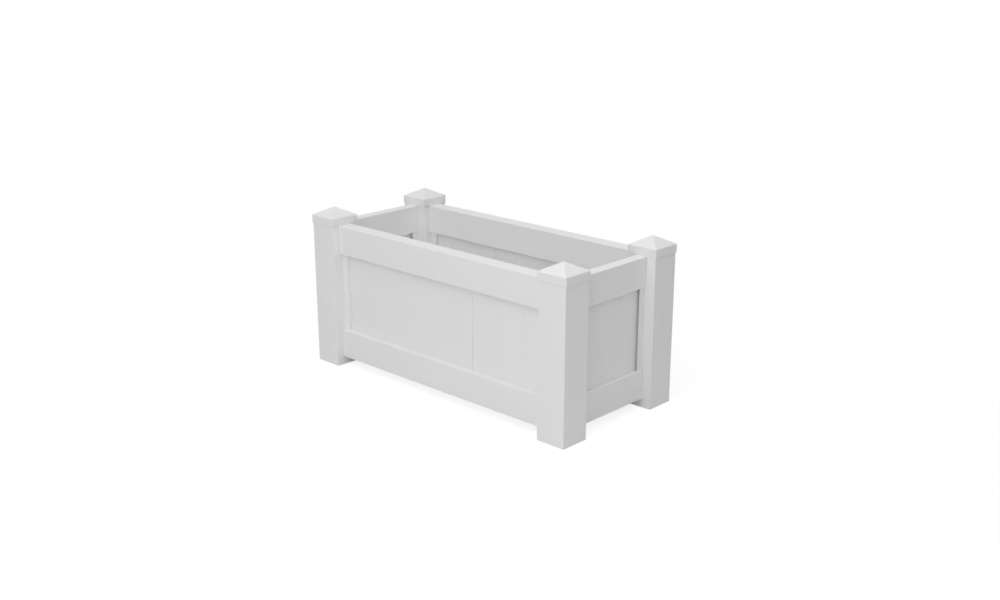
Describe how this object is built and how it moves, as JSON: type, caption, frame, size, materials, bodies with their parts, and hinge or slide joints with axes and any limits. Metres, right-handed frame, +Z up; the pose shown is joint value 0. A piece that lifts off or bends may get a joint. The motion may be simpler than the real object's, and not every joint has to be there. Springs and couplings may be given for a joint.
{
  "type": "raised planter box",
  "caption": "Raised rectangular planter box in white vinyl: square posts with pyramid caps, pocket rails and upright tongue-and-groove boards.",
  "frame": {"origin": "on the ground, under the middle of the box", "axes": "+X along the long side, to the right as seen from the front; -Y is the front; +Z up"},
  "size_m": [1.11, 0.5178, 0.538],
  "materials": {
    "white_vinyl": "smooth extruded vinyl, satin white",
    "stainless_steel": "plain stainless",
    "galvanised_steel": "galvanised sheet"
  },
  "bodies": {
    "root": {"back_board_1": "white_vinyl", "back_board_2": "white_vinyl", "back_board_3": "white_vinyl", "back_board_4": "white_vinyl", "back_board_5": "white_vinyl", "back_board_6": "white_vinyl", "back_board_7": "white_vinyl", "back_board_8": "white_vinyl", "back_board_9": "white_vinyl", "back_bottom_rail": "white_vinyl", "back_channel_left": "white_vinyl", "back_channel_right": "white_vinyl", "back_top_rail": "white_vinyl", "beam_hangers": "galvanised_steel", "channel_screws": "stainless_steel", "floor_beam": "white_vinyl", "floor_plank_1": "white_vinyl", "floor_plank_2": "white_vinyl", "floor_plank_3": "white_vinyl", "floor_plank_4": "white_vinyl", "floor_plank_5": "white_vinyl", "floor_plank_6": "white_vinyl", "floor_plank_7": "white_vinyl", "front_board_1": "white_vinyl", "front_board_2": "white_vinyl", "front_board_3": "white_vinyl", "front_board_4": "white_vinyl", "front_board_5": "white_vinyl", "front_board_6": "white_vinyl", "front_board_7": "white_vinyl", "front_board_8": "white_vinyl", "front_board_9": "white_vinyl", "front_bottom_rail": "white_vinyl", "front_channel_left": "white_vinyl", "front_channel_right": "white_vinyl", "front_top_rail": "white_vinyl", "hanger_screws": "stainless_steel", "left_board_1": "white_vinyl", "left_board_2": "white_vinyl", "left_board_3": "white_vinyl", "left_bottom_rail": "white_vinyl", "left_channel_left": "white_vinyl", "left_channel_right": "white_vinyl", "left_top_rail": "white_vinyl", "post_back_left": "white_vinyl", "post_back_right": "white_vinyl", "post_cap_back_left": "white_vinyl", "post_cap_back_right": "white_vinyl", "post_cap_front_left": "white_vinyl", "post_cap_front_right": "white_vinyl", "post_front_left": "white_vinyl", "post_front_right": "white_vinyl", "right_board_1": "white_vinyl", "right_board_2": "white_vinyl", "right_board_3": "white_vinyl", "right_bottom_rail": "white_vinyl", "right_channel_left": "white_vinyl", "right_channel_right": "white_vinyl", "right_top_rail": "white_vinyl"}
  },
  "joints": []
}
